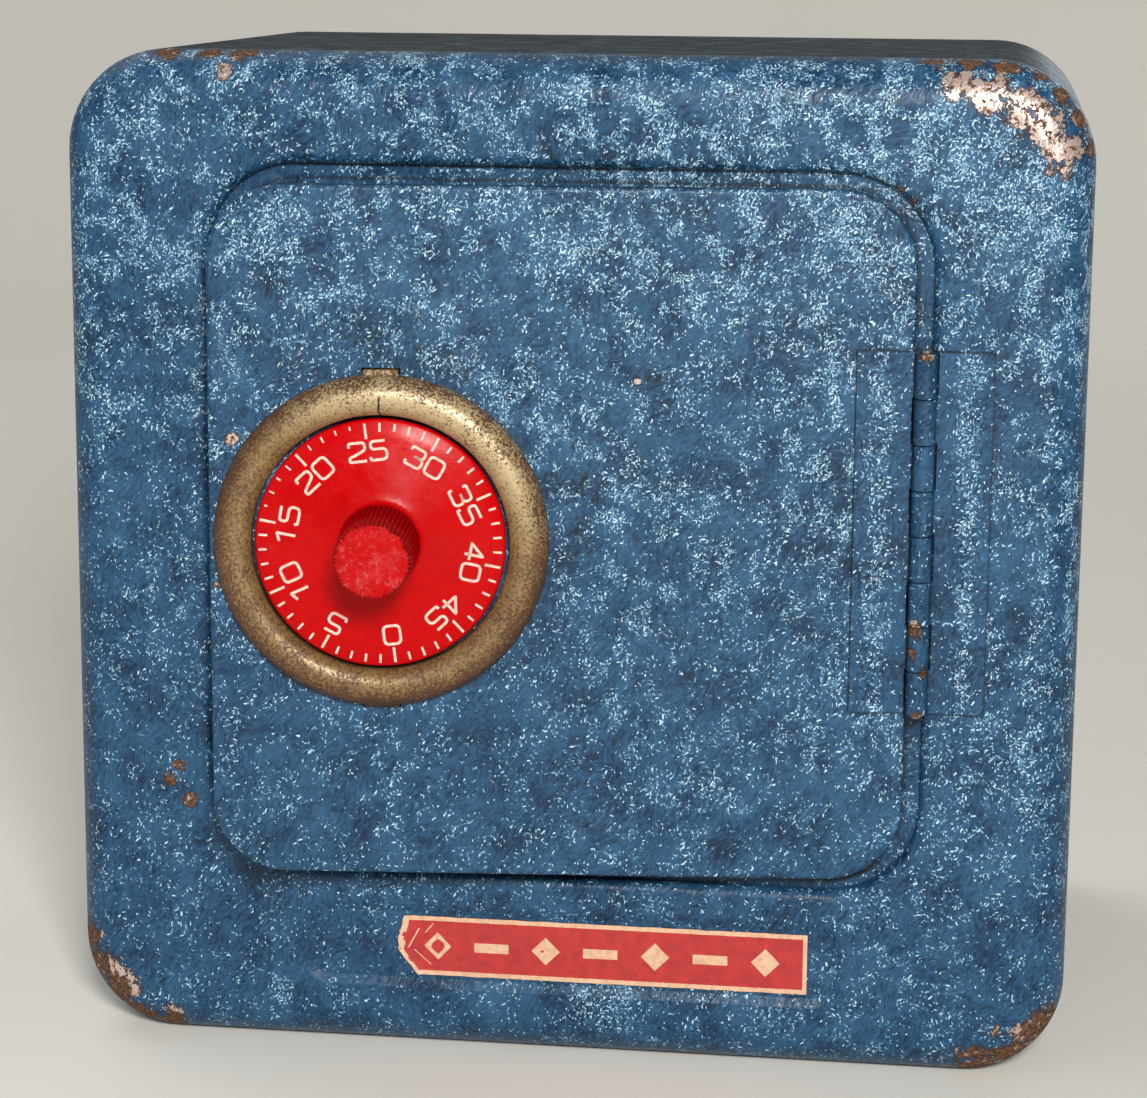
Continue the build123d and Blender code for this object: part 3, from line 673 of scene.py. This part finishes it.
DIGIT_W = 0.88                  # width of a digit for a height of 1
DIGITS = {
    "0": [([(0, 0), (0.88, 0), (0.88, 1), (0, 1)], True)],
    "1": [([(0.08, 0.80), (0.50, 1.0), (0.50, 0.0)], False)],
    "2": [([(0.02, 0.76), (0.02, 1), (0.86, 1), (0.86, 0.58), (0.0, 0.22), (0.0, 0.0), (0.9, 0.0)], False)],
    "3": [([(0.04, 0.80), (0.04, 1), (0.84, 1), (0.84, 0.53), (0.34, 0.53)], False),
          ([(0.34, 0.53), (0.88, 0.53), (0.88, 0), (0.0, 0), (0.0, 0.2)], False)],
    "4": [([(0.62, 0.0), (0.62, 1.0), (0.0, 0.30), (0.92, 0.30)], False)],
    "5": [([(0.84, 1), (0.06, 1), (0.06, 0.58), (0.88, 0.58), (0.88, 0), (0.0, 0), (0.0, 0.18)], False)],
}
BEND = 0.26                     # rounding of a digit's corners, for a height of 1
SHARP_BEND = {"1": 0.02, "4": 0.02}
READING = 26                    # the number at the index
MARKS = 50
WORN_MARKS = (14, 25)           # between these the marks are partly rubbed away


class Stamping:
    """Thin raised strips on the dial's face, collected into one mesh."""

    def __init__(self, depth, thickness):
        self.points, self.faces = [], []
        self.depth, self.thickness = depth, thickness

    def strip(self, path, width, closed, place):
        """Adds a strip along a path, whose points place() moves to their spot on the dial."""
        left, right, quads = ribbon(path, width, closed)
        base = len(self.points)
        for l, r in zip(left, right):
            (lx, lz), (rx, rz) = place(l), place(r)
            for x, z, depth in ((lx, lz, self.depth), (rx, rz, self.depth),
                                (lx, lz, self.depth - self.thickness), (rx, rz, self.depth - self.thickness)):
                self.points.append(on_door(x, depth, z))
        for i, j in quads:
            a, b = base + 4 * i, base + 4 * j
            self.faces += [(a + 2, a + 3, b + 3, b + 2), (a, a + 2, b + 2, b), (a + 3, a + 1, b + 1, b + 3),
                           (a + 1, a, b, b + 1)]
        if not closed:
            for i in (0, len(left) - 1):
                a = base + 4 * i
                cap = (a, a + 1, a + 3, a + 2)
                self.faces.append(cap if i == 0 else cap[::-1])


def build_marks(material):
    """Fifty marks, a longer one at every fifth, and the numbers outside the grip."""
    stamping = Stamping(GRIP_FOOT + 0.05, 0.09)
    height, gap, stroke, number_r = 3.9, 0.95, 0.56, 19.5
    for n in range(MARKS):
        angle = (n - READING) * 360 / MARKS
        inner, outer, width = (22.2, 25.4, 0.52) if n % 5 == 0 else (23.6, 25.3, 0.46)
        inner += random.uniform(-0.15, 0.15)
        if WORN_MARKS[0] < n < WORN_MARKS[1] and n % 5:
            inner, width = inner + random.uniform(0.2, 0.9), 0.36
        outer += random.uniform(-0.1, 0.05)

        def turn(point, angle=angle):
            a = math.radians(angle)
            return point.x * math.cos(a) + point.y * math.sin(a), point.y * math.cos(a) - point.x * math.sin(a)

        stamping.strip([Vector((0, inner)), Vector((0, outer))], width, False, turn)
        if n % 5:
            continue
        text = str(n)
        digit_w = DIGIT_W * height
        total = len(text) * digit_w + (len(text) - 1) * gap
        for k, letter in enumerate(text):
            x0 = -total / 2 + k * (digit_w + gap)
            for corners, closed in DIGITS[letter]:
                scaled = [(x0 + x * height, number_r - height / 2 + z * height) for x, z in corners]
                path = rounded_path(scaled, SHARP_BEND.get(letter, BEND) * height, closed)
                stamping.strip(path, stroke, closed, turn)
    piece("dial_marks", stamping.points, stamping.faces, "dial", material, smooth=False)


# ---------------------------------------------------------------- label
def build_label(red, cream):
    """Printed label with a torn, curled left end, cream border and a plain pattern of bars."""
    low, high = box_mm("label")
    face = low.y
    wide, tall = high.x - low.x, high.z - low.z
    columns, rows = 120, 18
    thickness, ink = 0.12, 0.14     # heights of the paper and the print above the panel

    def spot(u, v, lift):
        """Point at a share of the width and height, lift in front of the panel."""
        torn = max(0.0, 1 - u * 9)
        notch = 4.4 * max(0.0, 0.42 - v) / 0.42 + 1.3 * max(0.0, v - 0.6) / 0.4
        notch += 0.35 * (1 + noise.noise(Vector((v * 9.0, 2.0, 0))))
        x = low.x + wide * u + torn * notch
        curl = 0.5 * max(0.0, 1 - u * 22) ** 2 + 0.05 * noise.noise(Vector((u * 14, v * 3, 1)))
        edge = 0.12 * noise.noise(Vector((u * 23, round(v) * 7.0, 3)))
        return Vector((x, face - lift - curl, low.z + tall * v + (edge if v in (0, 1) else 0))) * MM

    points, faces = [], []
    for lift in (0.0, thickness):
        for c in range(columns + 1):
            for r in range(rows + 1):
                points.append(spot(c / columns, r / rows, lift))
    per = (columns + 1) * (rows + 1)

    def at(layer, c, r):
        return layer * per + c * (rows + 1) + r
    for c in range(columns):
        for r in range(rows):
            faces.append((at(1, c, r), at(1, c + 1, r), at(1, c + 1, r + 1), at(1, c, r + 1)))
            faces.append((at(0, c, r), at(0, c, r + 1), at(0, c + 1, r + 1), at(0, c + 1, r)))
    for c in range(columns):
        faces.append((at(0, c, 0), at(0, c + 1, 0), at(1, c + 1, 0), at(1, c, 0)))
        faces.append((at(1, c, rows), at(1, c + 1, rows), at(0, c + 1, rows), at(0, c, rows)))
    for r in range(rows):
        faces.append((at(0, 0, r), at(1, 0, r), at(1, 0, r + 1), at(0, 0, r + 1)))
        faces.append((at(0, columns, r), at(0, columns, r + 1), at(1, columns, r + 1), at(1, columns, r)))
    label = piece("label_paper", points, faces, "case", red)
    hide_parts("label")

    # printed border and pattern, a hair in front of the paper
    points, faces = [], []

    def patch(u0, v0, u1, v1, cuts):
        base = len(points)
        for k in range(cuts + 1):
            for v in (v0, v1):
                u = u0 + (u1 - u0) * k / cuts
                points.append(spot(u, v, ink))
        for k in range(cuts):
            a = base + 2 * k
            faces.append((a, a + 2, a + 3, a + 1))
    rim_u, rim_v = 0.9 / wide, 1.0 / tall
    patch(0.0, 0.0, 1.0, rim_v, columns)
    patch(0.0, 1 - rim_v, 1.0, 1.0, columns)
    patch(1 - rim_u, rim_v, 1.0, 1 - rim_v, 1)
    fringe = [(0.0, 1.0)] + [(random.uniform(0.7, 1.6), 1 - k / 14) for k in range(15)]
    for (_, v0), (width, v1) in zip(fringe, fringe[1:]):
        if v1 < v0:
            patch(0.0, v1, width / wide, v0, 2)
    # creases beside the torn end, where the paper shows through
    crease_w = 0.004
    creases = ((0.035, 0.62, 0.012, 0.34), (0.055, 0.30, -0.016, 0.24), (0.075, 0.80, 0.01, 0.16))
    for u, v, lean, length in creases:
        base = len(points)
        for du, dv in ((-lean, -length / 2), (-lean + crease_w, -length / 2),
                       (lean + crease_w, length / 2), (lean, length / 2)):
            points.append(spot(u + du, v + dv, ink))
        faces.append((base, base + 1, base + 2, base + 3))
    motif_count, motif_half = 7, 3.1
    for k in range(motif_count):
        centre_u = 0.10 + 0.80 * k / (motif_count - 1)
        if k % 2:
            patch(centre_u - 0.042, 0.42, centre_u + 0.042, 0.58, 8)
            continue
        base = len(points)
        half_u, half_v = motif_half / wide, motif_half / tall
        for du, dv in ((0, -half_v), (half_u, 0), (0, half_v), (-half_u, 0)):
            points.append(spot(centre_u + du, 0.5 + dv, ink))
        faces.append((base, base + 1, base + 2, base + 3))
    piece("label_print", points, faces, "case", cream, smooth=False)


# ---------------------------------------------------------------- places of wear, smudges and painted glints, and looks given out
ROUND_Y = 4.0                   # how far behind the front face the corner's rounding is worn
FRONT_Y = box_mm("front_shell")[0].y
BACK = box_mm("back_panel")[1].y - FRONT_Y
SHUT_X = -36.9                  # the dial's place with the door shut


def on_case(places, back):
    """(x, z, radius) on the case, a distance behind its front, as (x, y, z, radius)."""
    return [(x, FRONT_Y + back, z, radius) for x, z, radius in places]


def door_place(x, z):
    """Row-frame millimetres of a point on the door's face, given as if the door were shut."""
    flat = on_door(x - SHUT_X, 0, z - DIAL_CENTRE[2]) / MM
    return flat.x, flat.y, flat.z


def on_shut_door(places):
    """(x, z, radius) on the face of the shut door, as (x, y, z, radius) at rest."""
    return [(*door_place(x, z), radius) for x, z, radius in places]


bald_case = on_case([(80, 211, 5), (86, 209, 6.5), (92, 206.5, 6), (97, 203, 6), (101, 198, 6),
                     (-72, 211.5, 3.2), (-99.5, 15, 4.5), (-96.5, 10.5, 4.5), (-87, 5.5, 3),
                     (99.5, 11.5, 3.5)], 1.5)
# top edge, then the lower corners, the small chips and the back corners
rusty_case = on_case([(75, 215, 3.2), (82, 215, 3.7), (89, 214, 3.7), (95, 212, 3.8), (100, 208.5, 3.8),
                      (104, 203.5, 3.8), (106, 198, 3.2), (-69, 215.5, 4), (-76, 215.5, 4), (-85, 215.5, 4)],
                     ROUND_Y + 2)
rusty_case += on_case([(-106, 21, 5.5), (-104, 16, 6), (-100, 10, 6), (-94.5, 4.8, 6), (-87.5, 2.7, 5),
                       (90, 4, 7), (97.1, 5.4, 7), (103.8, 12.5, 7), (93.5, 10.5, 5)], ROUND_Y)
rusty_case += on_case([(-86.2, 58.7, 2.6), (-81.8, 54.4, 2.2), (-84, 62, 1.8), (69.7, 186.2, 3.4),
                       (68.5, 188.5, 2.4)], 0.4)
rusty_case += on_case([(-101, 9, 6), (-96, 5, 5), (101, 207, 6), (-101, 206, 4.5), (98, 6, 5)], BACK - ROUND_Y)
smudged_case = on_case([(90.5, 134, 9), (-60, 36, 10), (-20, 33, 12), (30, 34, 11)], 0)
# places where painted glints gather thickly on the case
case_glint_spots = on_case([(-62, 12.5, 4), (-72, 211, 5), (92, 186, 16), (82, 200, 13), (40, 205, 12),
                      (10, 13, 9)], 0)

smudged_door = on_shut_door([(-41, 159, 11), (-31, 157, 12), (-20, 155, 11), (-54, 152, 10), (8.5, 136, 11),
                             (4, 127, 11), (2, 117, 10), (9, 57, 10), (1, 64, 9), (20, 150, 8), (-60, 168, 9)])
chipped_door = on_shut_door([(-68, 137, 2.0), (-71.5, 106, 1.6), (16, 150, 0.9)])
# places where painted glints gather thickly on the door
door_glint_spots = on_shut_door([(58, 184, 10), (67, 173, 9), (-60, 180, 10), (0, 176, 8)])
weld_mark = (*door_place(66, 107), 3.2)
barrel_y = FRONT_Y - 4.4        # front of the hinge's barrel
leaf_rust = [(PIN_X, barrel_y, 156.8, 2.2), (PIN_X - 0.5, barrel_y, 99.4, 2.4),
             (PIN_X - 1.6, barrel_y + 0.2, 94.3, 2.0), (PIN_X + 1.5, barrel_y + 0.2, 90.4, 2.0),
             (PIN_X, barrel_y, 81.0, 1.6)]

case_paint = hammer_paint("case_paint", bald_case, rusty_case, smudged_case, case_glint_spots)
door_paint = hammer_paint("door_paint", bald=chipped_door, smudged=smudged_door, glint_spots=door_glint_spots)
leaf_paint = hammer_paint("leaf_paint", rusty=leaf_rust, welds=[weld_mark], leaf=True)
red = red_look()
paper = print_look("label_red", rgb(182, 44, 42), rgb(160, 34, 36), 3.0)
cream = print_look("cream_print", rgb(220, 180, 148), rgb(200, 156, 124), 1.5)
stamp = print_look("cream_stamp", rgb(232, 206, 190), rgb(208, 168, 152), 0.8, 0.5)

LOOKS = {
    "hammer_paint": case_paint,
    "gold_ring": gold_look(),
    "red_plastic": red,
    "printed_label": paper,
    "bare_steel": metal_look("bare_steel", rgb(150, 150, 148), rgb(104, 104, 104), 0.62),
    "lock_brass": metal_look("lock_brass", rgb(206, 172, 104), rgb(150, 116, 62), 0.75, 0.3),
    "lock_casting": metal_look("lock_casting", rgb(168, 170, 172), rgb(120, 122, 126), 0.66, 0.42, 9),
}
for entry in frame["record"]["subparts"]:
    dress(entry["node"], LOOKS[entry["material_slot"]])
dress("door_panel", door_paint)
dress("door_hinge_leaf", leaf_paint)
dress("case_hinge_leaf", leaf_paint)

build_dial(red)
build_marks(stamp)
build_label(paper, cream)


# ---------------------------------------------------------------- studio
def area_light(name, place_m, aim_m, size_m, watts, colour=(1, 1, 1)):
    """Square soft light at a place, turned towards its aim."""
    data = bpy.data.lights.new(name, "AREA")
    data.size, data.energy, data.color = size_m, watts, colour
    lamp = bpy.data.objects.new(name, data)
    lamp.location = place_m
    lamp.rotation_euler = (Vector(aim_m) - Vector(place_m)).to_track_quat("-Z", "Y").to_euler()
    bpy.context.collection.objects.link(lamp)


def studio_floor():
    """Pale floor that sweeps up behind the object."""
    half, front, back, rise, bend, bend_steps = 4.0, -4.0, 1.6, 2.4, 0.5, 8
    profile = [(front, 0.0), (back - bend, 0.0)]
    for k in range(1, bend_steps + 1):
        a = math.pi / 2 * k / bend_steps
        profile.append((back - bend + bend * math.sin(a), bend - bend * math.cos(a)))
    profile.append((back, rise))
    points, faces = [], []
    for y, z in profile:
        points += [(-half, y, z), (half, y, z)]
    for k in range(len(profile) - 1):
        faces.append((2 * k, 2 * k + 1, 2 * k + 3, 2 * k + 2))
    mesh = bpy.data.meshes.new("studio_floor")
    mesh.from_pydata(points, [], faces)
    mesh.polygons.foreach_set("use_smooth", [True] * len(faces))
    mesh.materials.append(floor_look())
    floor = bpy.data.objects.new("studio_floor", mesh)
    bpy.context.collection.objects.link(floor)


def camera():
    """Long lens a little above and to the right of the box, as the object was seen."""
    lens = bpy.data.cameras.new("camera")
    lens.sensor_width, lens.lens = 36.0, 96.3
    view = bpy.data.objects.new("camera", lens)
    place_m = (0.0889, -0.7036, 0.2385)
    yaw, pitch, roll = -0.137, -0.195, 0.008
    ahead = Vector((math.sin(yaw) * math.cos(pitch), math.cos(yaw) * math.cos(pitch), math.sin(pitch)))
    level = Vector((math.cos(yaw), -math.sin(yaw), 0))
    above = level.cross(ahead)
    across = math.cos(roll) * level + math.sin(roll) * above
    above = -math.sin(roll) * level + math.cos(roll) * above
    turn = Matrix((across, above, -ahead)).transposed()
    view.matrix_world = Matrix.Translation(place_m) @ turn.to_4x4()
    bpy.context.collection.objects.link(view)
    bpy.context.scene.camera = view


studio_floor()
camera()
front_m = (0, -0.05, 0.11)      # what the lights in front are turned towards
area_light("key", (0.30, -1.22, 0.66), front_m, 0.26, 19, (1.0, 0.98, 0.95))
area_light("fill", (-1.0, -1.0, 0.5), front_m, 1.2, 3, (0.95, 0.97, 1.0))
area_light("floor_wash", (-0.9, 0.6, 1.7), (0, 0.9, 0), 1.2, 9)
area_light("behind", (0.7, 1.5, 0.5), (0, 0.07, 0.11), 0.8, 4, (0.97, 0.98, 1.0))
world = bpy.data.worlds.new("studio")
world.use_nodes = True
world.node_tree.nodes["Background"].inputs["Color"].default_value = (0.9, 0.92, 0.95, 1)
world.node_tree.nodes["Background"].inputs["Strength"].default_value = 0.15
bpy.context.scene.world = world
bpy.context.scene.view_settings.view_transform = "Standard"
